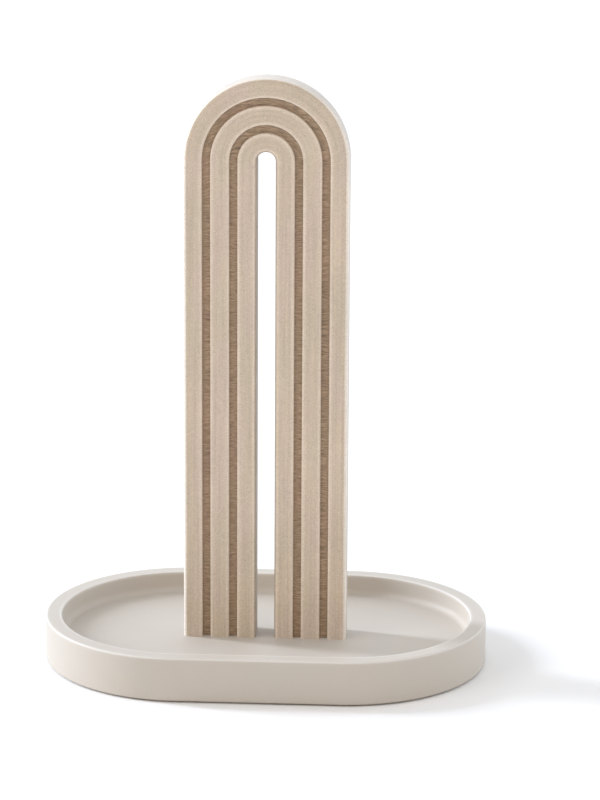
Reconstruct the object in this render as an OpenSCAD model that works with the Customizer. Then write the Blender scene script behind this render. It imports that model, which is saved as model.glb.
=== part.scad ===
// Arched hair tie holder: a grooved arch post screwed into a low oval tray.
// Millimetres. X runs along the tray, Y from front to back, Z up.
// The origin is the middle of the footprint, on the surface it stands on.

/* [Arch post] */
// Height of the whole holder above the surface it stands on
overall_h = 222; // [180:1:260]
// Width of each raised band of the arch
band_w = 7; // [5.5:0.5:10]
// Width of the sunk groove between two bands
groove_w = 3; // [2:0.5:5]
// Number of raised bands on each leg
band_count = 3; // [2:1:4]
// Width of the open slot between the two legs
slot_w = 7; // [5:0.5:14]
// Thickness of the arch from front to back
arch_t = 12; // [11:0.5:16]
// Depth of the grooves in each face
groove_depth = 2.2; // [1.4:0.1:2.6]
// Rounding of the long edges of the bands
band_edge_r = 0.9; // [0.3:0.1:1.5]

/* [Tenon joint] */
// How far each leg's tenon reaches into the tray floor
tenon_depth = 2.3; // [1.5:0.1:5]
// Width of the shoulder on each side of a tenon
tenon_shoulder = 2.5; // [1:0.5:4]
// Gap between a tenon and its socket, on every side
socket_clear = 0.2; // [0.1:0.05:0.4]

/* [Tray] */
// Length of the tray from end to end
tray_l = 166; // [140:1:220]
// Depth of the tray from front to back
tray_w = 106; // [90:1:130]
// Height of the tray body
tray_h = 16.4; // [14:0.2:30]
// Width of the flat rim
rim_w = 6; // [4:0.5:10]
// Rounding of the outer edges of the tray
tray_edge_r = 0.8; // [0.3:0.1:1.5]
// Rounding of the inner edge of the rim
rim_inner_r = 0.5; // [0.2:0.1:1.5]
// Hollow rounding where the wall of the well meets its floor
well_fillet = 2.5; // [1:0.5:4]
// Thickness of the tray floor left between a tenon and its screw
floor_web = 2.6; // [1.6:0.2:5]

/* [Screws and inserts] */
// Outer diameter of the screw thread
screw_d = 4; // [3:0.5:4.5]
// Diameter of the round screw head
head_d = 7.6; // [6:0.2:8.8]
// Height of the round screw head
head_h = 2.2; // [1.8:0.1:3]
// Width across the flats of the hex recess in the head
hex_af = 2.5; // [2:0.5:3]
// Depth of the hex recess in the head
hex_depth = 1.3; // [0.8:0.1:1.6]
// Outer diameter of the washer under the head
washer_d = 9; // [8.8:0.2:12]
// Thickness of the washer
washer_t = 0.8; // [0.5:0.1:1.5]
// How far the screw head is sunk below the tray's underside
head_sink = 0.4; // [0.2:0.1:2]
// Length of thread held in the insert
thread_grip = 6.4; // [4:0.2:9]
// Gap round the screw in the tray, in its washer and in its insert
screw_clear = 0.25; // [0.15:0.05:0.4]
// Outer diameter of the threaded insert
insert_d = 5.8; // [5.6:0.1:6]
// Length of the threaded insert
insert_len = 8; // [6:0.5:12]
// Depth of the waist turned into the insert
insert_waist = 0.3; // [0.1:0.05:0.3]

/* [Foot pads] */
// Diameter of each foot pad
pad_d = 12; // [8:0.5:16]
// Thickness of each foot pad
pad_t = 1.6; // [1.3:0.1:4]
// How deep each foot pad is let into the tray
pad_recess = 1; // [0.5:0.1:1.2]
// Distance from the tray's edge to the middle of a foot pad
pad_inset = 14; // [11:0.5:20]
// Gap round a foot pad in its recess
pad_clear = 0.15; // [0.1:0.05:0.4]
// Small bevel round the foot of a pad
pad_bevel = 0.3; // [0.1:0.1:0.5]

/* [Hidden] */
$fn = 96;
cut = 1;

// The arch, measured out from the middle of the slot
band_step = band_w + groove_w;
slot_r = slot_w / 2;
leg_w = band_count * band_w + (band_count - 1) * groove_w;
arch_r = slot_r + leg_w;
leg_x = slot_r + leg_w / 2;
web_t = arch_t - 2 * groove_depth;
tenon_w = leg_w - 2 * tenon_shoulder;

// Heights, from the surface up
tray_z = pad_t - pad_recess;
socket_depth = tenon_depth + socket_clear;
head_pocket = washer_t + head_h + head_sink;
floor_t = head_pocket + floor_web + socket_depth;
floor_z = tray_z + floor_t;
washer_z = tray_z + head_pocket;
tenon_z = floor_z - tenon_depth;
arc_z = overall_h - arch_r;

// The oval tray is two half discs joined by a straight middle
end_r = tray_w / 2;
end_x = tray_l / 2 - end_r;
well_r = end_r - rim_w;
pad_reach = (end_r - pad_inset) * cos(45);

// Screws
screw_seat_z = washer_z - washer_t;
screw_reach = washer_t + floor_web + socket_clear + thread_grip;
screw_hole_d = screw_d + 2 * screw_clear;
pocket_d = washer_d + 4 * screw_clear;
insert_bore_d = screw_d + 0.1;
tip_room = 1.5;
insert_hole = max(insert_len, thread_grip) + tip_room;
dome_r = (head_d * head_d / 4 + head_h * head_h) / (2 * head_h);

// A bar's cross-section with all four corners rounded
module rounded_bar(w, h, r) {
    square([w - 2 * r, h], center = true);
    square([w, h - 2 * r], center = true);
    for (sx = [-1, 1], sy = [-1, 1])
        translate([sx * (w / 2 - r), sy * (h / 2 - r)]) circle(r);
}

// A slot shape with round ends, as a tenon or its socket
module round_ended(w, h) {
    square([w - h, h], center = true);
    for (sx = [-1, 1]) translate([sx * (w - h) / 2, 0]) circle(d = h);
}

// Puts its children on both legs
module each_leg() {
    for (sx = [-1, 1]) translate([sx * leg_x, 0, 0]) children();
}

// One leg's cross-section: raised bands on a thinner web
module leg_section() {
    for (k = [0 : band_count - 1])
        translate([slot_r + band_w / 2 + k * band_step, 0])
            rounded_bar(band_w, arch_t, band_edge_r);
    translate([leg_x, 0]) square([leg_w - band_w, web_t], center = true);
}

// The arch is the leg's section turned over the top and run straight down
module arch_post() {
    color([0.80, 0.74, 0.66]) difference() {
        union() {
            translate([0, 0, arc_z]) rotate([90, 0, 0])
                rotate_extrude(angle = 180) leg_section();
            translate([0, 0, floor_z]) for (m = [0, 1]) mirror([m, 0, 0])
                linear_extrude(arc_z - floor_z) leg_section();
            translate([0, 0, tenon_z]) each_leg()
                linear_extrude(tenon_depth + cut) round_ended(tenon_w, web_t);
        }
        translate([0, 0, tenon_z - cut]) each_leg()
            cylinder(d = insert_d, h = insert_hole + cut);
    }
}

// Half of the tray's cross-section, from its middle line out to the wall
module tray_section() {
    difference() {
        union() {
            square([end_r - tray_edge_r, tray_h]);
            translate([0, tray_edge_r]) square([end_r, tray_h - 2 * tray_edge_r]);
            for (z = [tray_edge_r, tray_h - tray_edge_r])
                translate([end_r - tray_edge_r, z]) circle(tray_edge_r);
        }
        translate([-cut, floor_t]) square([well_r - well_fillet + cut, tray_h]);
        translate([-cut, floor_t + well_fillet]) square([well_r + cut, tray_h]);
        translate([well_r - well_fillet, floor_t + well_fillet]) circle(well_fillet);
        translate([well_r, tray_h - rim_inner_r]) difference() {
            translate([-cut, 0]) square([rim_inner_r + cut, rim_inner_r + cut]);
            translate([rim_inner_r, 0]) circle(rim_inner_r);
        }
        translate([-2 * end_r, -cut]) square([2 * end_r, tray_h + 2 * cut]);
    }
}

// The section runs straight along both sides and turns round both ends
module tray_body() {
    for (m = [0, 1]) mirror([m, 0, 0]) translate([end_x, 0, 0])
        rotate([0, 0, -90]) rotate_extrude(angle = 180) tray_section();
    for (m = [0, 1]) mirror([0, m, 0]) translate([-end_x, 0, 0])
        rotate([90, 0, 90]) linear_extrude(2 * end_x) tray_section();
}

// Puts its children at the four foot pads
module each_pad() {
    for (sx = [-1, 1], sy = [-1, 1])
        translate([sx * (end_x + pad_reach), sy * pad_reach, 0]) children();
}

module catch_tray() {
    color([0.86, 0.84, 0.80]) difference() {
        translate([0, 0, tray_z]) tray_body();
        translate([0, 0, floor_z - socket_depth]) each_leg()
            linear_extrude(socket_depth + cut)
                round_ended(tenon_w + 2 * socket_clear, web_t + 2 * socket_clear);
        each_leg() cylinder(d = screw_hole_d, h = floor_z);
        translate([0, 0, tray_z - cut]) each_leg()
            cylinder(d = pocket_d, h = head_pocket + cut);
        translate([0, 0, tray_z - cut]) each_pad()
            cylinder(d = pad_d + 2 * pad_clear, h = pad_recess + cut);
    }
}

// Threaded bushes held in the tenons, with a waist that keeps them from pulling out
module threaded_inserts() {
    color("goldenrod") translate([0, 0, tenon_z]) each_leg() difference() {
        cylinder(d = insert_d, h = insert_len);
        translate([0, 0, insert_len / 3]) difference() {
            cylinder(d = insert_d + cut, h = insert_len / 3);
            cylinder(d = insert_d - 2 * insert_waist, h = insert_len / 3);
        }
        translate([0, 0, -cut]) cylinder(d = insert_bore_d, h = insert_len + 2 * cut);
    }
}

// Button-head screws, driven up from below
module clamp_screws() {
    color("silver") translate([0, 0, screw_seat_z]) each_leg() difference() {
        union() {
            translate([0, 0, -head_h]) intersection() {
                cylinder(d = head_d, h = head_h);
                translate([0, 0, dome_r]) sphere(dome_r);
            }
            translate([0, 0, -head_h / 2])
                cylinder(d = screw_d, h = head_h / 2 + screw_reach);
        }
        translate([0, 0, -head_h - cut])
            cylinder(d = hex_af / cos(30), h = hex_depth + cut, $fn = 6);
    }
}

module screw_washers() {
    color("gainsboro") translate([0, 0, screw_seat_z]) each_leg() difference() {
        cylinder(d = washer_d, h = washer_t);
        translate([0, 0, -cut])
            cylinder(d = screw_hole_d, h = washer_t + 2 * cut);
    }
}

// Soft pads let into the underside, standing a little proud of it
module foot_pads() {
    color("dimgray") each_pad() {
        cylinder(d1 = pad_d - 2 * pad_bevel, d2 = pad_d, h = pad_bevel);
        translate([0, 0, pad_bevel]) cylinder(d = pad_d, h = pad_t - pad_bevel);
    }
}

arch_post();
catch_tray();
threaded_inserts();
clamp_screws();
screw_washers();
foot_pads();
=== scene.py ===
# %% [markdown]
# # A hair tie holder: a grooved arch in a low oval tray
#
# The real object is a slim arch, moulded in a sandy matte composite, that stands in a smooth pale
# tray. Each face of the arch has three raised bands with softened edges and two grooves between them.
# Two screws under the tray hold it upright, and four soft pads keep the tray off the table.
#
# The construction model is already packed at its real size. This lesson loads it as a fixed frame, and
# then gives every piece a finely curved surface and a finish. The frame comes first, because each new
# piece takes its size and place from it.

import bmesh
import bpy
import numpy as np
from mathutils import Matrix, Vector
from mathutils.geometry import tessellate_polygon


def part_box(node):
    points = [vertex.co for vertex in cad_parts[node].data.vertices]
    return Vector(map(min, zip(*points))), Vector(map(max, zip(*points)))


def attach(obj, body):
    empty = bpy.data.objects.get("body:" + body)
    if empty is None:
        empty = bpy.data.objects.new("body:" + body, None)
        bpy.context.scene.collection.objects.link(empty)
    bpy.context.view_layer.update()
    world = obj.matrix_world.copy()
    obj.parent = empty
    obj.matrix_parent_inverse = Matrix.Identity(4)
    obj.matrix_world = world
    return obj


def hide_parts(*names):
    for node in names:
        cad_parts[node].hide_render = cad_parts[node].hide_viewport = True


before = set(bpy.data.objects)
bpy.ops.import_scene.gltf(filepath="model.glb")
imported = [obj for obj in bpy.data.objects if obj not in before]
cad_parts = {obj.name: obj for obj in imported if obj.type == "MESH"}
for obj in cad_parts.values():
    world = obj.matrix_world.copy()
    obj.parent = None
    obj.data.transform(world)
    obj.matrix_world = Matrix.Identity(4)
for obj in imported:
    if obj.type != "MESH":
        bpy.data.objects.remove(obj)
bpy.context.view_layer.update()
MM = 0.001


def box_mm(node):
    """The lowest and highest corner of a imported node, in millimetres, as two arrays."""
    return tuple(np.array(corner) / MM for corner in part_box(node))


arch_low, arch_high = box_mm("arch_post")
tray_low, tray_high = box_mm("catch_tray")
print("arch", arch_low.round(2), arch_high.round(2))
print("tray", tray_low.round(2), tray_high.round(2))

# %% [markdown]
# ## The camera
#
# A product picture like this one is taken with a long lens from about a metre away, a little above the
# object and a little to its right. A long lens keeps the arch's two legs almost parallel.
#
# The camera could be aimed with a constraint, but its three small turns are easier to read as numbers.
# The lens is shifted down instead of tilted further, which is how a photographer keeps uprights
# upright.

# %% Place the camera
eye = Vector((74.27, -1158.71, 418.43)) * MM
yaw, pitch, roll = -0.05345, 0.23039, 0.00526

look = Vector((np.sin(yaw) * np.cos(pitch), np.cos(yaw) * np.cos(pitch), -np.sin(pitch)))
level = Vector((np.cos(yaw), -np.sin(yaw), 0))
above = level.cross(look)
right = level * np.cos(roll) + above * np.sin(roll)
up = above * np.cos(roll) - level * np.sin(roll)

lens = bpy.data.cameras.new("product_lens")
lens.lens = 145.65
lens.sensor_width = 36.0
lens.shift_y = -0.15
lens.clip_start, lens.clip_end = 0.05, 60.0
camera = bpy.data.objects.new("product_camera", lens)
facing = Matrix((right, up, -look)).transposed().to_quaternion()
camera.matrix_world = Matrix.LocRotScale(eye, facing, None)
bpy.context.scene.collection.objects.link(camera)
bpy.context.scene.camera = camera
print("camera looks down", round(np.degrees(pitch), 1), "degrees from", round(eye.length, 2), "m away")

# %% [markdown]
# ## Sizes shared by shape and finish
#
# The outer sizes come from the frame. The bands, grooves and roundings inside them are named here
# once, in millimetres, so that the surfaces and the masks of the finish agree on where an edge lies.

# %% Name the sizes
BAND = 7.0
GROOVE = 3.0
BANDS = 3
STEP = BAND + GROOVE
SLOT_R = 3.5
GROOVE_DEPTH = 2.2
BAND_EDGE = 0.9
OUTER_EDGE = 1.3
GROOVE_FILLET = 0.3
ARCH_R = arch_high[0]
HALF_T = arch_high[1]
HALF_WEB = HALF_T - GROOVE_DEPTH
LEG_X = (SLOT_R + ARCH_R) / 2
ARC_Z = arch_high[2] - ARCH_R

RIM = 6.0
TRAY_EDGE = 0.8
RIM_INNER = 0.5
WELL_FILLET = 2.5
END_R = tray_high[1]
END_X = tray_high[0] - END_R
WELL_R = END_R - RIM
TRAY_Z = tray_low[2]
RIM_Z = tray_high[2]

POCKET_DEPTH = 3.4
POCKET_R = 5.0
SCREW_HOLE_R = 2.25
FLOOR_WEB = 2.6
SOCKET_DEPTH = 2.5
SOCKET_CLEAR = 0.2
TENON_W = 22.0
TENON_EASE = 0.02
TENON_Z = arch_low[2]
BORE_R = 2.9
BORE_DEPTH = 9.5
PAD_HOLE_R = 6.15
PAD_RECESS = 1.0
PAD_INSET = 14.0
PAD_REACH = np.round((END_R - PAD_INSET) * np.cos(np.pi / 4), 3)
PAD_PLACE = END_X + PAD_REACH, PAD_REACH
FLOOR_Z = TRAY_Z + POCKET_DEPTH + FLOOR_WEB + SOCKET_DEPTH
print("arch turns at", round(ARC_Z, 2), "mm; the well's floor is at", round(FLOOR_Z, 2), "mm")

# %% [markdown]
# ## Outlines with softened corners
#
# Every moulded piece starts as an outline. Sharp corners catch no light, so each corner gets its own
# small rounding. Blender's Bevel modifier could do that afterwards, but here each edge has a different
# radius, and the finish needs to know how far a point is from an edge. So the roundings are worked out
# directly.

# %% Round the corners of an outline
def divided(points, stride, closed):
    """The same line with extra points, so that no step is longer than stride."""
    ends = np.roll(points, -1, axis=0) if closed else points[1:]
    starts = points if closed else points[:-1]
    parts = np.maximum(np.ceil(np.linalg.norm(ends - starts, axis=1) / stride).astype(int), 1)
    first = np.repeat(np.arange(len(parts)), parts)
    share = (np.arange(parts.sum()) - np.repeat(np.cumsum(parts) - parts, parts)) / parts[first]
    line = starts[first] + (ends - starts)[first] * share[:, None]
    return line if closed else np.vstack([line, points[-1]])


def softened(corners, stride=1.0, steps=8, closed=True):
    """A line through corners, given as (across, height, radius of its rounding).

    The rounding's centre lies on the line that halves the corner, at radius / sin(half the corner's
    angle). The arc's points are start * sin(turn - t) + end * sin(t), divided by sin(turn), for t from 0
    to the whole turn. A radius of 0 keeps the corner sharp.
    """
    corners = np.array(corners, float)
    line = []
    for before, (*point, radius), after in zip(np.roll(corners, 1, 0), corners, np.roll(corners, -1, 0)):
        point = np.array(point)
        if radius == 0:
            line.append(point[None])
            continue
        back = (before[:2] - point) / np.linalg.norm(before[:2] - point)
        ahead = (after[:2] - point) / np.linalg.norm(after[:2] - point)
        half = np.arccos(np.clip(back @ ahead, -1, 1)) / 2
        centre = point + (back + ahead) / np.linalg.norm(back + ahead) * radius / np.sin(half)
        start = point + back * radius / np.tan(half) - centre
        end = point + ahead * radius / np.tan(half) - centre
        turn = np.pi - 2 * half
        t = np.linspace(0, turn, steps + 1)[:, None]
        line.append(centre + (start * np.sin(turn - t) + end * np.sin(t)) / np.sin(turn))
    return divided(np.vstack(line), stride, closed)


def circle(x, y, radius, count=48):
    """Points round a circle: the middle plus radius times (cos, sin) of the angle."""
    angle = np.linspace(0, 2 * np.pi, count, endpoint=False)
    return np.stack([x + radius * np.cos(angle), y + radius * np.sin(angle)], axis=-1)


def round_ended(x, width, height, count=24):
    """A slot's outline: two half circles, half the height in radius, joined by straight sides."""
    radius = height / 2
    angle = np.linspace(-np.pi / 2, np.pi / 2, count)
    end = x + width / 2 - radius
    right_end = np.stack([end + radius * np.cos(angle), radius * np.sin(angle)], axis=-1)
    left_end = np.stack([2 * x - right_end[:, 0], -right_end[:, 1]], axis=-1)
    return divided(np.vstack([right_end, left_end]), stride=2.0, closed=True)


def at_height(outline, z):
    """A flat outline lifted to height z."""
    return np.column_stack([outline, np.full(len(outline), z)])


# %% [markdown]
# ## Closed shells from rings
#
# A moulded piece is one closed skin. Its skin is a stack of rings with a strip of four-sided faces
# between each pair, and its flat places are filled between rings that lie in one plane. Keeping all
# rings in one numbered list means that neighbouring strips share their points, so the skin has no
# seams to merge. Boolean cuts could open the sockets instead, but they leave long thin faces that
# shade badly.

# %% Collect rings into one closed skin
class Skin:
    """Rings of points in millimetres and the faces between them."""

    def __init__(self):
        self.points = np.zeros((0, 3))
        self.faces = []

    def add(self, points):
        """Keeps points, an array of any shape by 3, and returns their numbers in that shape."""
        points = np.asarray(points, float)
        numbers = len(self.points) + np.arange(points[..., 0].size).reshape(points.shape[:-1])
        self.points = np.vstack([self.points, points.reshape(-1, 3)])
        return numbers

    def strips(self, rings):
        """Four-sided faces between each closed ring and the next."""
        here, ahead = rings, np.roll(rings, -1, axis=1)
        quads = np.stack([here[:-1], ahead[:-1], ahead[1:], here[1:]], axis=-1)
        self.faces += quads.reshape(-1, 4).tolist()

    def wall(self, ring, z):
        """A straight wall from a flat ring to height z. Returns the ring at its far end."""
        points = self.points[ring].copy()
        points[:, 2] = z
        far = self.add(points)
        self.strips(np.stack([ring, far]))
        return far

    def fill(self, *rings):
        """A flat face inside the first ring, with each further ring as a hole in it."""
        numbers = np.concatenate(rings)
        loops = [[Vector(p) for p in self.points[ring]] for ring in rings]
        self.faces += [numbers[list(corners)].tolist() for corners in tessellate_polygon(loops)]

    def piece(self, name, crease=35):
        """The finished object, in metres. Its faces point outwards and are smooth except at corners."""
        mesh = bpy.data.meshes.new(name)
        mesh.from_pydata(self.points * MM, [], self.faces)
        work = bmesh.new()
        work.from_mesh(mesh)
        bmesh.ops.recalc_face_normals(work, faces=work.faces)
        open_edges = sum(not edge.is_manifold for edge in work.edges)
        work.to_mesh(mesh)
        work.free()
        mesh.polygons.foreach_set("use_smooth", np.ones(len(mesh.polygons), bool))
        mesh.set_sharp_from_angle(angle=np.radians(crease))
        made = bpy.data.objects.new(name, mesh)
        bpy.context.scene.collection.objects.link(made)
        print(name, len(mesh.polygons), "faces,", open_edges, "open edges")
        return made


def keep_on_points(piece, name, values):
    """Stores one number, or one triple, on every point of a piece, for its finish to read."""
    kind = "FLOAT" if values.ndim == 1 else "FLOAT_VECTOR"
    layer = piece.data.attributes.new(name, kind, "POINT")
    layer.data.foreach_set("value" if values.ndim == 1 else "vector", values.astype(np.float32).ravel())


# %% [markdown]
# ## The arch
#
# The arch is one moulding: a leg's cross-section carried straight up, turned over the top in a half
# circle and carried down again. A curve with a bevel object could sweep it, but it would tilt and
# resample the section. Here the sweep is a formula in two parameters: a place on the section and a
# place on the path.

# %% Draw the leg's cross-section
def leg_corners():
    """Corners of a leg's section, as distance from the slot's middle, depth, and rounding."""
    front = []
    for band in range(BANDS):
        inner = SLOT_R + band * STEP
        far_edge = BAND_EDGE if band < BANDS - 1 else OUTER_EDGE
        front += [(inner, HALF_T, BAND_EDGE), (inner + BAND, HALF_T, far_edge)]
        if band < BANDS - 1:
            front += [(inner + BAND, HALF_WEB, GROOVE_FILLET), (inner + STEP, HALF_WEB, GROOVE_FILLET)]
    return front + [(across, -depth, edge) for across, depth, edge in reversed(front)]


section = softened(leg_corners(), stride=0.6)
print("section has", len(section), "points")

# %% Carry the section along the path
def arch_path(leg_steps=46, arc_steps=120):
    """Turn over the top, in radians, and drop below the arc's centre, for each ring in turn."""
    fall = np.linspace(ARC_Z - FLOOR_Z, 0, leg_steps + 1)[:-1]
    turn = np.linspace(0, np.pi, arc_steps + 1)
    angle = np.concatenate([np.zeros(leg_steps), turn, np.full(leg_steps, np.pi)])
    return angle, np.concatenate([fall, np.zeros(arc_steps + 1), fall[::-1]])


def swept_arch(outline, angle, drop):
    """Every section point at every ring: x = across * cos(angle), y = depth,
    z = the arc's centre + across * sin(angle) - drop."""
    across, depth = outline[None, :, 0], outline[None, :, 1]
    angle, drop = angle[:, None], drop[:, None]
    x = across * np.cos(angle)
    z = ARC_Z + across * np.sin(angle) - drop
    return np.stack([x, np.broadcast_to(depth, x.shape), z], axis=-1)


arch_skin = Skin()
arch_rings = arch_skin.add(swept_arch(section, *arch_path()))
arch_skin.strips(arch_rings)
print("arch has", arch_rings.shape[0], "rings of", arch_rings.shape[1], "points")

# %% [markdown]
# Each foot ends in a tenon that drops into a socket in the tray's floor, with a blind bore for the
# brass insert that the screw grips. They are hidden once the holder stands, but the real moulding has
# them.

# %% Close the feet with their tenons
def add_tenon(skin, foot, side):
    """Closes a foot: the flat shoulder, the round-ended tenon, and the bore up its middle.

    The tenon is a hair thinner than the web above it, so that its outline stays clear of the foot's.
    """
    middle = side * LEG_X
    outline = round_ended(middle, TENON_W, 2 * (HALF_WEB - TENON_EASE))
    shoulder = skin.add(at_height(outline, FLOOR_Z))
    skin.fill(foot, shoulder)
    tip = skin.wall(shoulder, TENON_Z)
    mouth = skin.add(at_height(circle(middle, 0, BORE_R), TENON_Z))
    skin.fill(tip, mouth)
    skin.fill(skin.wall(mouth, TENON_Z + BORE_DEPTH))


add_tenon(arch_skin, arch_rings[0], 1)
add_tenon(arch_skin, arch_rings[-1], -1)
arch = arch_skin.piece("arch_body")

# %% [markdown]
# The finish has to follow the bend. Fine marks on the faces run along the bands, also over the top, so
# each point keeps its place on the straightened arch. The strokes in the grooves are the mix's own
# grain, so each point also keeps the level of the grain's lines. A texture with straight axes could do
# neither.

# %% Keep the bent coordinates and the grain
def straightened(points):
    """Distance from the slot's middle, depth, and length along the leg's middle line from the top.

    Over the top the distance is the radius, and the length is the angle from upright times the middle
    radius. On the legs the distance is |x|, and the fall below the arc's centre is added to the length.
    """
    x, y, z = points.T
    rise = z - ARC_Z
    over = rise > 0
    across = np.where(over, np.hypot(x, rise), np.abs(x))
    bend = LEG_X * (np.arctan2(np.maximum(rise, 0), x) - np.pi / 2)
    return np.stack([across, y, bend + np.sign(x) * np.minimum(rise, 0)], axis=-1)


def over_the_top(along):
    """0 on the legs and 1 at the top of the arch: the cosine of the angle from upright."""
    return np.cos(np.clip(along / LEG_X, -np.pi / 2, np.pi / 2))


def grain_level(points, across, along, lean=2.0):
    """Width, depth, and the level of the grain's lines: strokes run where this level stays the same.

    On the legs the level is the height, so the strokes run straight across. Over the top it is
    off * cos + middle * log(1 + lean * cos) / lean, where off is the distance from the groove's middle
    line, middle is that line's radius and cos is 1 at the top. The lines then lean with the groove.
    """
    x, y, z = points.T
    off = (across - SLOT_R) % STEP - BAND - GROOVE / 2
    cos = over_the_top(along)
    over = off * cos + (across - off) * np.log1p(lean * cos) / lean
    return np.stack([x, y, over + np.minimum(z - ARC_Z, 0)], axis=-1)


bent = straightened(arch_skin.points)
across, depth, along = bent.T
keep_on_points(arch, "bent", bent * MM)
keep_on_points(arch, "grain_level", grain_level(arch_skin.points, across, along) * MM)
print("arch path runs from", along.min().round(1), "to", along.max().round(1), "mm")

# %% [markdown]
# Each mask is a number from 0 to 1 on every point. It says where the finish changes: a painted
# highlight on each band's edge, grooves painted browner and darker as shade with painted shade in their
# corners, a painted highlight strip round the outside, and painted shade in the slot. A mask could be
# painted by hand, but worked out from the same sizes as the shape it meets every edge exactly.

# %% Mark edges, grooves and the places of painted highlight and shade
def fading(distance, width):
    """1 at distance 0, falling as exp(-(distance / width) squared)."""
    return np.exp(-((distance / width) ** 2))


def near_band_edge(across, depth, width=0.85, slot_line=1.0, slot_width=0.35, slot_share=0.7):
    """1 on a band's rounded edge, fading away from its corner.

    The outermost edge is left out, because it belongs to the painted highlight strip round the outside.
    This mask carries a pale painted highlight. Beside the slot the painted highlight is narrower and
    weaker, and lies on the face, slot_line from the slot's wall.
    """
    corners = SLOT_R + np.add.outer(np.arange(BANDS) * STEP, [0, BAND]).ravel()[1:-1]
    sideways = np.abs(across[:, None] - corners).min(axis=1)
    below_face = HALF_T - np.abs(depth)
    at_slot = fading(np.hypot(across - SLOT_R - slot_line, below_face), slot_width)
    return np.maximum(fading(np.hypot(sideways, below_face), width), slot_share * at_slot)


def in_groove(across, depth, wall_share=0.4, slack=0.05, margin=1.0):
    """1 on a groove's floor, falling to 0 over its walls, and 0 on the outer sides of the leg.

    The upper part of the walls, wall_share of the groove's depth, has the colour of the bands.
    """
    sunk = HALF_T - wall_share * GROOVE_DEPTH - np.abs(depth)
    past_band = (across - SLOT_R) % STEP > BAND - slack
    inside = (across > SLOT_R + margin) & (across < ARCH_R - margin)
    return np.clip(sunk / ((1 - wall_share) * GROOVE_DEPTH), 0, 1) * past_band * inside


def in_groove_corner(across, depth, width=0.5):
    """1 where a groove's floor meets its walls, fading away from that corner."""
    walls = SLOT_R + BAND + np.add.outer(np.arange(BANDS - 1) * STEP, [0, GROOVE]).ravel()
    sideways = np.abs(across[:, None] - walls).min(axis=1)
    return fading(np.hypot(sideways, np.abs(depth) - HALF_WEB), width)


def on_outside(across, along, start=0.12, narrowing=0.75):
    """1 on the outer side of the arch and on its rounded edge, with a crisp start on the face.

    The painted highlight strip is as wide as the rounding on the legs. Over the top it is a quarter of
    that, because there the painted highlight lies on the outer side itself.
    """
    width = OUTER_EDGE * (1 - narrowing * over_the_top(along))
    return np.clip((across - ARCH_R + width) / start, 0, 1)


def on_round(depth, fade=0.3):
    """1 on the rounded edges at front and back, 0 on the flat side between them."""
    return np.clip((np.abs(depth) - HALF_T + OUTER_EDGE) / (fade * OUTER_EDGE), 0, 1)


def in_slot(across, reach=0.6, fade=0.4):
    """1 on the slot's wall, falling to 0 round its edge."""
    return np.clip((SLOT_R + reach - across) / fade, 0, 1)


# Strengths of the painted highlights: on the band edges of the legs and over the top, and on the outer
# side over the top
LEG_EDGE_HIGHLIGHT, TOP_EDGE_HIGHLIGHT = 0.7, 0.95
TOP_OUTER_HIGHLIGHT = 0.4
top = over_the_top(along)
outside = on_outside(across, along)
round_edge = on_round(depth)
highlight_share = LEG_EDGE_HIGHLIGHT + (TOP_EDGE_HIGHLIGHT - LEG_EDGE_HIGHLIGHT) * top
# The band edge and outer strip masks place painted highlights; the groove corner and slot wall masks
# place painted shade
masks = {
    "band_edge_highlight": highlight_share * near_band_edge(across, depth),
    "groove": in_groove(across, depth),
    "groove_corner_shade": in_groove_corner(across, depth),
    "flank": outside * (1 - round_edge),
    "outer_highlight_strip": outside * np.maximum(round_edge, TOP_OUTER_HIGHLIGHT * top),
    "slot_wall_shade": in_slot(across),
}
for name, values in masks.items():
    keep_on_points(arch, name, values)
    print(f"{name} marks {np.mean(values > 0.5):.0%} of the arch's points")

# %% [markdown]
# ## The tray
#
# The tray is a low oval dish with a flat rim, a hollow rounding inside and small roundings outside. It
# is an outline carried round an oval: two half turns about the ends of a short spine, and two straight
# sides. The same function of section and path makes wall, rim and well as one smooth surface.

# %% Carry the tray's section round the oval
def oval_path(end_steps=96, side_steps=24):
    """For each ring point, the place on the spine that it turns about and its outward angle."""
    half_turn = np.linspace(-np.pi / 2, np.pi / 2, end_steps + 1)
    along_side = np.linspace(END_X, -END_X, side_steps + 1)[1:-1]
    spine = np.concatenate([
        np.full(end_steps + 1, END_X),
        along_side,
        np.full(end_steps + 1, -END_X),
        along_side[::-1],
    ])
    angle = np.concatenate([
        half_turn,
        np.full(side_steps - 1, np.pi / 2),
        half_turn + np.pi,
        np.full(side_steps - 1, -np.pi / 2),
    ])
    return spine, angle


def oval_rings(profile, spine, angle):
    """One ring for each profile point: x = spine + radius * cos(angle), y = radius * sin(angle),
    z = height."""
    radius, height = profile[:, 0, None], profile[:, 1, None]
    x = spine + radius * np.cos(angle)
    return np.stack([x, radius * np.sin(angle), np.broadcast_to(height, x.shape)], axis=-1)


FLAT_STRIP = 1.0
tray_profile = softened(
    [
        (WELL_R - WELL_FILLET - FLAT_STRIP, FLOOR_Z, 0),
        (WELL_R, FLOOR_Z, WELL_FILLET),
        (WELL_R, RIM_Z, RIM_INNER),
        (END_R, RIM_Z, TRAY_EDGE),
        (END_R, TRAY_Z, TRAY_EDGE),
        (END_R - TRAY_EDGE - FLAT_STRIP, TRAY_Z, 0),
    ],
    closed=False,
)
tray_skin = Skin()
tray_rings = tray_skin.add(oval_rings(tray_profile, *oval_path()))
tray_skin.strips(tray_rings)
print("tray profile has", len(tray_profile), "points")

# %% [markdown]
# Under the arch the floor has a socket for each tenon. Below it a screw hole opens into a round pocket
# that hides the screw's head and washer, and four shallow recesses hold the foot pads.

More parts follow.
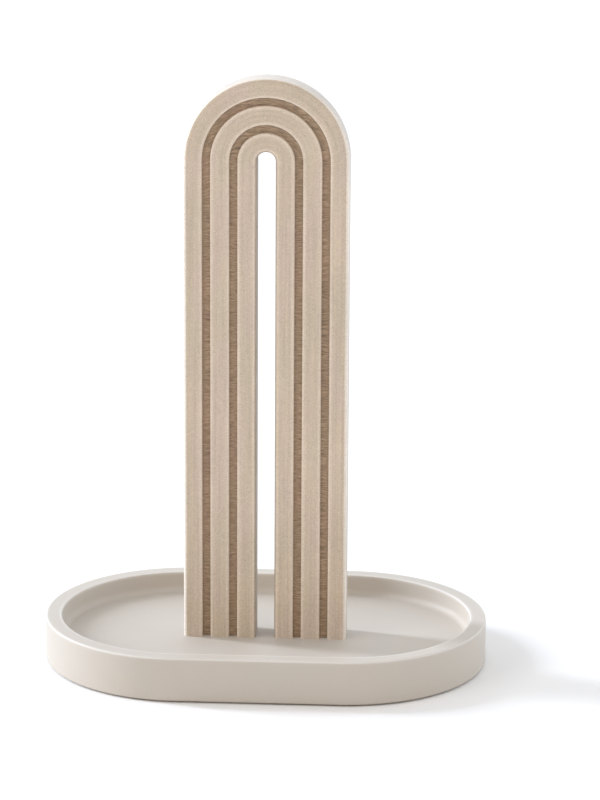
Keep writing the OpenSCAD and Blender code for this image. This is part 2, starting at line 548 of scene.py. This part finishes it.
# %% Open the sockets, pockets and recesses
def add_fixing(skin, middle):
    """One fixing, from the socket's mouth down to the pocket's mouth. Returns both mouths."""
    socket = round_ended(middle, TENON_W + 2 * SOCKET_CLEAR, 2 * (HALF_WEB + SOCKET_CLEAR))
    mouth = skin.add(at_height(socket, FLOOR_Z))
    seat = skin.wall(mouth, FLOOR_Z - SOCKET_DEPTH)
    hole = skin.add(at_height(circle(middle, 0, SCREW_HOLE_R), FLOOR_Z - SOCKET_DEPTH))
    skin.fill(seat, hole)
    under = skin.wall(hole, TRAY_Z + POCKET_DEPTH)
    ceiling = skin.add(at_height(circle(middle, 0, POCKET_R), TRAY_Z + POCKET_DEPTH))
    skin.fill(ceiling, under)
    return mouth, skin.wall(ceiling, TRAY_Z)


def add_recess(skin, x, y):
    """A round recess for one foot pad. Returns its mouth."""
    ceiling = skin.add(at_height(circle(x, y, PAD_HOLE_R), TRAY_Z + PAD_RECESS))
    skin.fill(ceiling)
    return skin.wall(ceiling, TRAY_Z)


pad_places = [(sx * PAD_PLACE[0], sy * PAD_PLACE[1]) for sx in (-1, 1) for sy in (-1, 1)]
fixings = [add_fixing(tray_skin, side * LEG_X) for side in (-1, 1)]
recesses = [add_recess(tray_skin, *place) for place in pad_places]
tray_skin.fill(tray_rings[0], *[mouth for mouth, _ in fixings])
tray_skin.fill(tray_rings[-1], *[mouth for _, mouth in fixings], *recesses)
tray = tray_skin.piece("tray_body")

# %% Keep the tray's edge mask for its painted rim highlight
def near_tray_edge(points, width=0.5):
    """1 on the rim's outer and inner roundings, fading away from them."""
    x, y, z = points.T
    radius = np.hypot(np.maximum(np.abs(x) - END_X, 0), y)
    outer = np.hypot(radius - END_R, z - RIM_Z)
    inner = np.hypot(radius - WELL_R, z - RIM_Z)
    return fading(np.minimum(outer, inner), width)


# The rim's roundings get a pale painted highlight from this mask
rim_edge_highlight = near_tray_edge(tray_skin.points)
keep_on_points(tray, "rim_edge_highlight", rim_edge_highlight)
print(f"rim_edge_highlight marks {np.mean(rim_edge_highlight > 0.5):.0%} of the tray's points")

# %% [markdown]
# ## Screws, washers, inserts and pads
#
# The fixings are turned or moulded round an axis, so each is a profile spun about it. What makes them
# look real is small: a thread that climbs, a knurl that bites into the leg, ribs that grip the table.
# A thread could be made with the Screw modifier. It is also just a radius that depends on height and
# angle, and in that form it fades out at both ends and closes without a seam.

# %% Spin a profile, cut a thread
PITCH = 0.7
RINGS_PER_PITCH = 12


def turned(radius, height, x, y=0.0, count=72):
    """Rings about the axis at (x, y): the middle plus radius * (cos, sin) of the angle, at each height.

    The radius is one number for each ring, or one for every ring and angle.
    """
    angle = np.linspace(0, 2 * np.pi, count, endpoint=False)
    radius = np.asarray(radius, float)
    radius = radius[:, None] if radius.ndim == 1 else radius
    around = radius * np.cos(angle), radius * np.sin(angle)
    return np.stack(np.broadcast_arrays(x + around[0], y + around[1], height[:, None]), axis=-1)


def threaded(low, high, root, crest, count=72, flat=0.25):
    """The radius and height of a thread: root + (crest - root) * wave * fade.

    The wave is a triangle of height / pitch - angle / whole turn, with its top and its bottom cut flat.
    The fade falls to 0 over the last pitch at each end.
    """
    height = np.linspace(low, high, int((high - low) / PITCH * RINGS_PER_PITCH) + 1)
    phase = (height[:, None] / PITCH - np.linspace(0, 1, count, endpoint=False)) % 1
    wave = np.clip((1 + 2 * flat) * (1 - np.abs(2 * phase - 1)) - flat, 0, 1)
    fade = np.clip(np.minimum(height - low, high - height) / PITCH, 0, 1)
    return root + (crest - root) * wave * fade[:, None], height


def closed_turn(skin, profile, x):
    """A ring-shaped piece: its closed profile, as (radius, height), spun about the axis at x."""
    rings = skin.add(turned(profile[:, 0], profile[:, 1], x))
    skin.strips(np.vstack([rings, rings[:1]]))


# %% Turn the screws
screw_low, screw_high = box_mm("clamp_screws")
seat_z = box_mm("screw_washers")[0][2]
HEAD_R = 3.8
HEAD_FLAT = 1.7
HEX_WIDTH = 2.5
HEX_DEPTH = 1.3
THREAD_ROOT, THREAD_CREST = 1.62, 1.98
THREAD_START, THREAD_END = 0.5, 0.4
TIP_R, TIP_BEVEL = 1.3, 0.35

# Radius and height above the seat: the head's broken edge, its flat underside, the fillet to the neck
NECK = np.array([(HEAD_R - 0.1, 0.0), (2.1, 0.0), (1.85, 0.1), (1.75, 0.35)])


def add_screw(skin, x, dome_steps=13):
    """A button-head screw, from the flat round its hexagon over the dome and up the thread.

    The dome is part of a sphere: height = low + R - square root of (R squared - radius squared), where
    R = (head radius squared + head height squared) / (2 * head height).
    """
    head = seat_z - screw_low[2]
    sphere = (HEAD_R ** 2 + head ** 2) / (2 * head)
    dome_r = np.linspace(HEAD_FLAT, HEAD_R, dome_steps + 1)
    dome = turned(dome_r, screw_low[2] + sphere - np.sqrt(sphere ** 2 - dome_r ** 2), x)
    under = turned(NECK[:, 0], seat_z + NECK[:, 1], x)
    low, high = seat_z + THREAD_START, screw_high[2] - THREAD_END
    thread = turned(*threaded(low, high, THREAD_ROOT, THREAD_CREST), x)
    tip = turned([THREAD_ROOT, TIP_R], screw_high[2] - np.array([TIP_BEVEL, 0]), x)
    rings = skin.add(np.concatenate([dome, under, thread, tip]))
    skin.strips(rings)
    skin.fill(rings[-1])
    hexagon = divided(circle(x, 0, HEX_WIDTH / np.sqrt(3), count=6), stride=0.5, closed=True)
    mouth = skin.add(at_height(hexagon, dome[0, 0, 2]))
    skin.fill(rings[0], mouth)
    skin.fill(skin.wall(mouth, screw_low[2] + HEX_DEPTH))


screw_skin = Skin()
for side in (-1, 1):
    add_screw(screw_skin, side * LEG_X)
screws = screw_skin.piece("screw_bodies")

# %% Turn the washers and the inserts
washer_low, washer_high = box_mm("screw_washers")
washer_r = (washer_high[0] - washer_low[0]) / 2 - LEG_X
STAMPED_EDGE, ROLLED_EDGE = 0.08, 0.2
washer_profile = softened([
    (SCREW_HOLE_R, washer_low[2], STAMPED_EDGE),
    (washer_r, washer_low[2], ROLLED_EDGE),
    (washer_r, washer_high[2], STAMPED_EDGE),
    (SCREW_HOLE_R, washer_high[2], STAMPED_EDGE),
], stride=0.5)

insert_low, insert_high = box_mm("threaded_inserts")
KNURLS = 26
RIDGE_POINTS = 6
KNURL_DEPTH = 0.16
KNURL_SLANT = 0.45
WAIST_R = 2.6
INSERT_BEVEL = 0.4
NUT_ROOT, NUT_CREST = 2.22, 2.07


def knurled(height, low, high):
    """The insert's outside, R - depth * (1 - ridge), whose ridges slant one way below, the other above.

    A ridge is a triangle wave of knurls * angle / whole turn + slant * height. The waist in the middle
    third and the bevels at both ends are the smaller of this radius and theirs.
    """
    share = (height - low) / (high - low)
    slant = np.where(share < 0.5, KNURL_SLANT, -KNURL_SLANT) * (height - low)
    phase = (np.arange(KNURLS * RIDGE_POINTS) / RIDGE_POINTS + slant[:, None]) % 1
    ridge = 1 - np.abs(2 * phase - 1)
    waist = np.where(np.abs(share - 0.5) < 1 / 6, WAIST_R, BORE_R)
    bevel = BORE_R - INSERT_BEVEL + np.minimum(height - low, high - height)
    return np.minimum(BORE_R - KNURL_DEPTH * (1 - ridge), np.minimum(waist, bevel)[:, None])


def add_insert(skin, x, levels=73):
    """A brass insert: the knurled outside, the threaded bore, and the two flat ends between them."""
    low, high = insert_low[2], insert_high[2]
    height = np.linspace(low, high, levels)
    radius = knurled(height, low, high)
    outside = skin.add(turned(radius, height, x, count=radius.shape[1]))
    inside = skin.add(turned(*threaded(low, high, NUT_ROOT, NUT_CREST), x))
    skin.strips(outside)
    skin.strips(inside)
    skin.fill(outside[0], inside[0])
    skin.fill(outside[-1], inside[-1])


washer_skin, insert_skin = Skin(), Skin()
for side in (-1, 1):
    closed_turn(washer_skin, washer_profile, side * LEG_X)
    add_insert(insert_skin, side * LEG_X)
washers = washer_skin.piece("washer_rings")
inserts = insert_skin.piece("insert_bodies")

# %% Mould the foot pads
pad_top = box_mm("foot_pads")[1][2]
PAD_R = 6.0
PAD_FOOT, PAD_BRIM = 0.5, 0.15
PAD_MIDDLE = 1.0
SOLE_GROOVES = 2.0, 3.7
SOLE_WIDTH, SOLE_DEPTH = 0.8, 0.3
SOLE_SLOPE, SOLE_ROUND = 0.15, 0.08


def sole_groove(start):
    """The four corners of one ring-shaped groove, narrower at its bottom, from its inner radius out."""
    places = (0, 0), (SOLE_SLOPE, SOLE_DEPTH), (SOLE_WIDTH - SOLE_SLOPE, SOLE_DEPTH), (SOLE_WIDTH, 0)
    return [(start + out, deep, SOLE_ROUND) for out, deep in places]


pad_profile = softened([
    (PAD_MIDDLE, 0, 0),
    *sole_groove(SOLE_GROOVES[0]),
    *sole_groove(SOLE_GROOVES[1]),
    (PAD_R, 0, PAD_FOOT),
    (PAD_R, pad_top, PAD_BRIM),
    (PAD_MIDDLE, pad_top, 0),
], closed=False, steps=5)


def add_pad(skin, x, y):
    """A soft pad: two ring-shaped grooves in its sole, a well rounded foot and a flat top."""
    rings = skin.add(turned(pad_profile[:, 0], pad_profile[:, 1], x, y))
    skin.strips(rings)
    skin.fill(rings[0])
    skin.fill(rings[-1])


pad_skin = Skin()
for place in pad_places:
    add_pad(pad_skin, *place)
pads = pad_skin.piece("pad_bodies")

# %% [markdown]
# ## Finishes as formulas
#
# A finish is a small program: noises, masks and mixes that end in colour, roughness and relief. Wiring
# them one by one hides the thought behind them. So a socket is wrapped in a class whose sums and
# products add the Math nodes, and a mask can be written the way it is said.

# %% Wrap sockets and graphs
class Value:
    """An output socket that can be added, subtracted and multiplied like a number."""

    def __init__(self, graph, socket):
        self.graph, self.socket = graph, socket

    def math(self, operation, other):
        """One Math node, with this value and another number or Value."""
        return self.graph.node("Math", {"operation": operation}, {0: self, 1: other})

    def __add__(self, other):
        return self.math("ADD", other)

    def __sub__(self, other):
        return self.math("SUBTRACT", other)

    def __rsub__(self, other):
        return self.graph.node("Math", {"operation": "SUBTRACT"}, {0: other, 1: self})

    def __mul__(self, other):
        return self.math("MULTIPLY", other)

    __radd__, __rmul__ = __add__, __mul__

    def rise(self, low, high):
        """0 below low, 1 above high, and an even S between them."""
        settings = {"interpolation_type": "SMOOTHSTEP", "clamp": True}
        return self.graph.node("MapRange", settings, {"Value": self, "From Min": low, "From Max": high})


class Graph:
    """The nodes of one material or world."""

    def __init__(self, owner):
        owner.use_nodes = True
        self.nodes, self.links = owner.node_tree.nodes, owner.node_tree.links

    def put(self, socket, value):
        """Links a Value to a socket, or writes a plain value on it."""
        if isinstance(value, Value):
            self.links.new(value.socket, socket)
        else:
            socket.default_value = value

    def node(self, kind, settings=None, sockets=None, output=0):
        """Adds a node: its type, its settings, and then the values or links of its sockets."""
        made = self.nodes.new("ShaderNode" + kind)
        for name, setting in (settings or {}).items():
            setattr(made, name, setting)
        for name, value in (sockets or {}).items():
            self.put(made.inputs[name], value)
        return Value(self, made.outputs[output])

    def mix(self, amount, low, high):
        """Colour low where amount is 0, and colour high where it is 1."""
        return self.node("Mix", {"data_type": "RGBA"}, {0: amount, 6: low, 7: high}, output=2)

    def tint(self, colour, amount):
        """A colour made lighter or darker by a factor, with Vector Math, so that it stays a colour."""
        return self.node("VectorMath", {"operation": "SCALE"}, {0: colour, "Scale": amount})

    def noise(self, where, scale, detail=2.0, rough=0.5):
        """Soft random patches whose size is about 1 / scale of a metre. Its middle is 0.5."""
        sockets = {"Vector": where, "Scale": scale, "Detail": detail, "Roughness": rough}
        return self.node("TexNoise", {}, sockets)

    def stretched(self, where, x, y, z):
        """The same coordinates, multiplied along each axis, which makes a pattern finer there."""
        return self.node("VectorMath", {"operation": "MULTIPLY"}, {0: where, 1: (x, y, z)})

    def moved(self, where, by):
        """The same coordinates plus an offset."""
        return self.node("VectorMath", {"operation": "ADD"}, {0: where, 1: by})

    def axes(self, where):
        """The x, y and z of coordinates, as three Values."""
        parts = self.node("SeparateXYZ", {}, {0: where}).socket.node.outputs
        return [Value(self, part) for part in parts]

    def kept(self, name, output="Fac"):
        """What keep_on_points stored under this name: one number, or a triple with output="Vector"."""
        return self.node("Attribute", {"attribute_name": name}, output=output)

    def bump(self, strength, distance, relief):
        """The normal of a surface whose relief of 1 stands this distance high, in metres."""
        sockets = {"Strength": strength, "Distance": distance, "Height": relief}
        return self.node("Bump", {}, sockets, output="Normal")


def finish_for(name, **constants):
    """A new material, its graph and its shader, whose constants are written on its own sockets."""
    material = bpy.data.materials.new(name)
    graph = Graph(material)
    shader = graph.nodes["Principled BSDF"]
    for socket, value in constants.items():
        shader.inputs[socket.replace("_", " ")].default_value = value
    return material, graph, shader


# %% [markdown]
# ## The sandy composite of the arch
#
# Close up, the arch is not one colour. Greyish and pinkish patches a millimetre or two wide lie in a
# warm sand, with fine light and dark grains. The rounded edges carry a pale painted highlight, and the
# outer sides a greyer, darker copy of the sand as painted shade. The grooves are painted browner and
# darker as shade, with more painted shade in their corners and in the slot. The grooves were never
# polished, so the mix's grain shows in them as fine strokes, level across the legs and leaning with the
# groove over the top. One noise could not do all this, so each of these marks is a noise or a mask of
# its own.

# %% Make the sandy finish
SAND = (0.650, 0.546, 0.430, 1)
SAND_GREY = (0.605, 0.536, 0.420, 1)
SAND_PINK = (0.656, 0.538, 0.458, 1)
# The next colours are painted light: pale highlights for the band edges and the outer strip, a greyer
# painted-shade copy of the sand for the outer sides, and groove colours darkened with painted shade
SAND_EDGE_HIGHLIGHT = (0.930, 0.810, 0.685, 1)
SAND_SIDE_SHADED = (0.575, 0.530, 0.480, 1)
SAND_OUTER_HIGHLIGHT = (0.860, 0.790, 0.705, 1)
SAND_GROOVE_SHADED = (0.415, 0.300, 0.205, 1)
GROOVE_ROSE_SHADED = (0.422, 0.297, 0.203, 1)

sandy, g, shader = finish_for(
    "sandy_composite", Specular_IOR_Level=0.35, Sheen_Weight=0.25, Sheen_Roughness=0.4
)
place = g.node("TexCoord", output="Object")
# In the order of the masks. edge and strip place painted highlights; flank, corner and slot painted
# shade
edge, groove, corner, flank, strip, slot = [g.kept(name) for name in masks]

patches = g.noise(g.stretched(place, 110, 110, 50), 1.0, detail=2.0).rise(0.42, 0.62)
blush = g.noise(g.stretched(place, 90, 90, 36), 1.0, detail=1.0).rise(0.48, 0.64)
mottle = g.noise(place, 520, detail=2.0)
drift = g.noise(place, 32, detail=2.0)
grains = g.noise(place, 2300, detail=1.0, rough=0.8)
light_grains = g.noise(place, 1700, detail=1.0).rise(0.66, 0.72)
dark_grains = g.noise(g.moved(place, (3.1, 1.7, 5.3)), 1900, detail=1.0).rise(0.68, 0.74)
strokes = g.noise(g.stretched(g.kept("bent", "Vector"), 1200, 1200, 26), 1.0, detail=2.0)
sway = g.node("CombineXYZ", {}, {"Z": (g.noise(place, 110, detail=1.0) - 0.5) * 0.004})
lines = g.moved(g.kept("grain_level", "Vector"), sway)
scoring = g.noise(g.stretched(lines, 260, 260, 2400), 1.0, detail=2.0)

colour = g.mix(patches * 0.45, SAND, SAND_GREY)
colour = g.mix(blush * 0.7, colour, SAND_PINK)
# Painted light: the grooves darker and browner as shade, the band edges paler as a highlight, the outer
# sides greyer as shade, and the outer strip paler as a highlight
colour = g.mix(groove * 0.85, colour, g.mix(blush, SAND_GROOVE_SHADED, GROOVE_ROSE_SHADED))
colour = g.mix(edge * (1 - groove), colour, SAND_EDGE_HIGHLIGHT)
colour = g.mix(flank, colour, SAND_SIDE_SHADED)
colour = g.mix(strip, colour, SAND_OUTER_HIGHLIGHT)
shade = 0.98 + (drift - 0.5) * 0.24 + (mottle - 0.5) * 0.14 + (strokes - 0.5) * 0.34 * (1 - groove)
shade = shade + (grains - 0.5) * 0.52 + light_grains * 0.14 - dark_grains * 0.18
# Painted shade: the slot's wall and the groove corners are made darker
shade = (shade + (scoring - 0.5) * groove * 2.0) * (1 - slot * 0.28) * (1 - corner * 0.14)
g.put(shader.inputs["Base Color"], g.tint(colour, shade))
g.put(shader.inputs["Roughness"], 0.62 + (grains - 0.5) * 0.25 + groove * 0.12)

relief = grains * 0.6 + g.noise(place, 900, detail=2.0) * 0.6 + strokes * 0.4 + scoring * groove * 1.6
g.put(shader.inputs["Normal"], g.bump(0.35, 0.00008, relief))
arch.data.materials.append(sandy)
print(sandy.name, "has", len(g.nodes), "nodes")

# %% [markdown]
# ## The pale composite of the tray
#
# The tray is cast from the same kind of mix with finer sand, and rubbed smoother. It looks almost
# even: only faint clouds and a dusting of tiny grains keep it from looking like plastic.

# %% Make the pale finish
PALE = (0.612, 0.563, 0.501, 1)
PALE_GREY = (0.586, 0.551, 0.497, 1)
PALE_RIM_HIGHLIGHT = (0.930, 0.915, 0.890, 1)

pale, g, shader = finish_for(
    "tray_composite", Specular_IOR_Level=0.45, Sheen_Weight=0.15, Sheen_Roughness=0.4
)
place = g.node("TexCoord", output="Object")
edge = g.kept("rim_edge_highlight")
clouds = g.noise(place, 70, detail=3.0)
dust = g.noise(place, 3200, detail=2.0, rough=0.6)

colour = g.mix(clouds.rise(0.42, 0.66) * 0.6, PALE, PALE_GREY)
# A pale painted highlight on the rim's roundings
colour = g.mix(edge * 0.75, colour, PALE_RIM_HIGHLIGHT)
g.put(shader.inputs["Base Color"], g.tint(colour, 0.98 + (clouds - 0.5) * 0.08 + (dust - 0.5) * 0.10))
g.put(shader.inputs["Roughness"], 0.50 + (clouds - 0.5) * 0.2 + (dust - 0.5) * 0.1)
relief = dust * 0.5 + g.noise(place, 1100, detail=2.0) * 0.5
g.put(shader.inputs["Normal"], g.bump(0.25, 0.00005, relief))
tray.data.materials.append(pale)
print(pale.name, "has", len(g.nodes), "nodes")

# %% [markdown]
# ## Brass, steel and rubber
#
# Their faces carry marks from how the pieces were made: turned brass has rings round its axis,
# zinc-plated steel is faintly cloudy with small scuffs, and rubber is matt with a fine leathery skin.
# Image textures could give the same marks, but would need the pieces unwrapped first.

# %% Finish the fixings and the pads
BRASS, BRASS_DULL = (0.72, 0.50, 0.22, 1), (0.50, 0.33, 0.14, 1)
SCREW_ZINC, WASHER_ZINC = (0.62, 0.62, 0.61, 1), (0.56, 0.57, 0.56, 1)
ZINC_BRIGHT = (0.82, 0.82, 0.80, 1)
RUBBER, RUBBER_GREY = (0.040, 0.040, 0.042, 1), (0.085, 0.083, 0.080, 1)

brass, g, shader = finish_for("turned_brass", Metallic=1.0)
place = g.node("TexCoord", output="Object")
turning = g.noise(g.stretched(place, 60, 60, 9000), 1.0, detail=1.0)
tarnish = g.noise(place, 500, detail=3.0).rise(0.45, 0.75)
g.put(shader.inputs["Base Color"], g.mix(tarnish * 0.5, BRASS, BRASS_DULL))
g.put(shader.inputs["Roughness"], 0.28 + tarnish * 0.2 + (turning - 0.5) * 0.2)
g.put(shader.inputs["Normal"], g.bump(0.3, 0.00003, turning))


def plated_steel(name, colour, dull):
    """Zinc-plated steel: clouds of plating on a rolled or turned surface, with small bright scuffs."""
    material, g, shader = finish_for(name, Metallic=1.0)
    place = g.node("TexCoord", output="Object")
    clouds = g.noise(place, 700, detail=3.0)
    scuffs = g.noise(g.stretched(place, 900, 5200, 900), 1.0, detail=2.0).rise(0.58, 0.72)
    scuffed = g.mix(scuffs * 0.5, colour, ZINC_BRIGHT)
    g.put(shader.inputs["Base Color"], g.tint(scuffed, 0.92 + (clouds - 0.5) * 0.3))
    g.put(shader.inputs["Roughness"], dull + (clouds - 0.5) * 0.3 - scuffs * 0.08)
    g.put(shader.inputs["Normal"], g.bump(0.25, 0.00003, clouds + scuffs * 0.4))
    return material


screw_steel = plated_steel("plated_screw_steel", SCREW_ZINC, 0.30)
washer_steel = plated_steel("plated_washer_steel", WASHER_ZINC, 0.38)

rubber, g, shader = finish_for("soft_rubber", Specular_IOR_Level=0.4)
place = g.node("TexCoord", output="Object")
skin = g.node("TexVoronoi", {"feature": "DISTANCE_TO_EDGE"}, {"Vector": place, "Scale": 1500})
bloom = g.noise(place, 240, detail=3.0)
bloomed = g.mix(bloom.rise(0.4, 0.7) * 0.5, RUBBER, RUBBER_GREY)
g.put(shader.inputs["Base Color"], g.tint(bloomed, 1.0 + (bloom - 0.5) * 0.4))
g.put(shader.inputs["Roughness"], 0.72 + (bloom - 0.5) * 0.2)
g.put(shader.inputs["Normal"], g.bump(0.4, 0.00008, skin.rise(0.0, 0.25)))

finished = (inserts, brass), (screws, screw_steel), (washers, washer_steel), (pads, rubber)
for piece, material in finished:
    piece.data.materials.append(material)
    print(piece.name, "finished in", material.name)

# %% [markdown]
# ## Tie the new pieces to the frame
#
# Each new piece stands for one imported node and rides on its body. The table also lists a material
# slot name for each, which the loop does not use. The imported node is then hidden, but stays for the
# physics.

# %% Replace the imported nodes
stand_ins = (
    (arch, "arch_post", "sand_composite"),
    (tray, "catch_tray", "pale_composite"),
    (inserts, "threaded_inserts", "insert_brass"),
    (screws, "clamp_screws", "screw_steel"),
    (washers, "screw_washers", "washer_steel"),
    (pads, "foot_pads", "pad_rubber"),
)
for piece, node_name, slot_name in stand_ins:
    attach(piece, "root")
    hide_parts(node_name)
print(len(stand_ins), "packed nodes replaced")

# %% [markdown]
# ## Background, light and floor
#
# The picture was taken on a white sweep in a pale room. The world stands for the room's walls:
# brightest on the right, warmer and dimmer behind the camera. The camera and every mirror see plain
# white instead, so the background needs no extra light, which would wash the object out.

# %% Colour the walls of the room
WHITE = (1, 1, 1, 1)
LEFT_WALL, RIGHT_WALL = (1.26, 1.36, 1.49, 1), (1.84, 1.99, 2.16, 1)
BEHIND_CAMERA = (0.58, 0.47, 0.36, 1)
CEILING = (0.63, 0.62, 0.62, 1)

world = bpy.data.worlds.new("white_walls")
bpy.context.scene.world = world
g = Graph(world)
to_right, to_back, to_top = g.axes(g.node("TexCoord", output="Generated"))
walls = g.mix(to_right.rise(0.30, 0.95), LEFT_WALL, RIGHT_WALL)
walls = g.mix(to_back.rise(-0.10, -0.65), walls, BEHIND_CAMERA)
walls = g.mix(to_top.rise(0.25, 0.90), walls, CEILING)
seen = g.node("LightPath", output="Is Camera Ray")
seen = seen.math("MAXIMUM", g.node("LightPath", output="Is Glossy Ray"))
seen = seen.math("MAXIMUM", g.node("LightPath", output="Is Transmission Ray"))
g.put(g.nodes["Background"].inputs["Color"], g.mix(seen, walls, WHITE))
g.put(g.nodes["Background"].inputs["Strength"], 1.0)
print("the walls have", len(g.nodes), "nodes")

# %% [markdown]
# A tall strip lamp stands on the left, a little behind the object. Its light makes a shadow whose long
# edge is crisp and whose far end fades, because a tall lamp blurs a shadow only along its length. One
# wide sun would blur every edge alike, so the strip is built from six narrow suns, one above the
# other. A weak wide sun from the front left fills the faces.

# %% Hang the lamps
STRIP_ELEVATIONS = np.linspace(8, 40, 6)
STRIP_HEADING = -14
STRIP_SOFTNESS = 7
STRIP_ENERGY = 0.36
STRIP_COLOUR = (0.98, 1.05, 1.18)
FILL_COLOUR = (1.0, 1.0, 1.0)


def add_sun(name, energy, softness, heading, elevation, colour):
    """A sun lamp, with its angles in degrees. Its light travels along +X, turned by heading towards +Y,
    and falls by elevation."""
    lamp = bpy.data.lights.new(name, "SUN")
    lamp.energy, lamp.angle, lamp.color = energy, np.radians(softness), colour
    heading, elevation = np.radians(heading), np.radians(elevation)
    flat = np.cos(elevation)
    travel = Vector((np.cos(heading) * flat, np.sin(heading) * flat, -np.sin(elevation)))
    holder = bpy.data.objects.new(name, lamp)
    holder.rotation_mode = "QUATERNION"
    holder.rotation_quaternion = travel.to_track_quat("-Z", "Y")
    bpy.context.scene.collection.objects.link(holder)


for number, elevation in enumerate(STRIP_ELEVATIONS):
    name = f"strip_lamp_{number}"
    add_sun(name, STRIP_ENERGY, STRIP_SOFTNESS, STRIP_HEADING, elevation, STRIP_COLOUR)
add_sun("fill_lamp", energy=0.5, softness=30, heading=35, elevation=30, colour=FILL_COLOUR)
print(len(STRIP_ELEVATIONS), "strip lamps and one fill lamp")

# %% [markdown]
# The floor keeps the object's shadow. It is white to the camera, while the light it throws back is a
# little warmer, as it is from a paper sweep.

# %% Lay the floor
FLOOR_REACH = 12.0
PAPER = (0.90, 0.885, 0.87, 1)

corner_signs = (-1, -1), (1, -1), (1, 1), (-1, 1)
floor_corners = [(sx * FLOOR_REACH, sy * FLOOR_REACH, 0) for sx, sy in corner_signs]
floor_mesh = bpy.data.meshes.new("floor")
floor_mesh.from_pydata(floor_corners, [], [(0, 1, 2, 3)])
floor = bpy.data.objects.new("floor", floor_mesh)
bpy.context.scene.collection.objects.link(floor)

sweep, g, shader = finish_for("white_sweep", Roughness=1.0, Specular_IOR_Level=0.0)
to_camera = g.node("LightPath", output="Is Camera Ray")
g.put(shader.inputs["Base Color"], g.mix(to_camera, PAPER, WHITE))
floor_mesh.materials.append(sweep)

bpy.context.scene.view_settings.view_transform = "Standard"
print("floor is", 2 * FLOOR_REACH, "m wide")
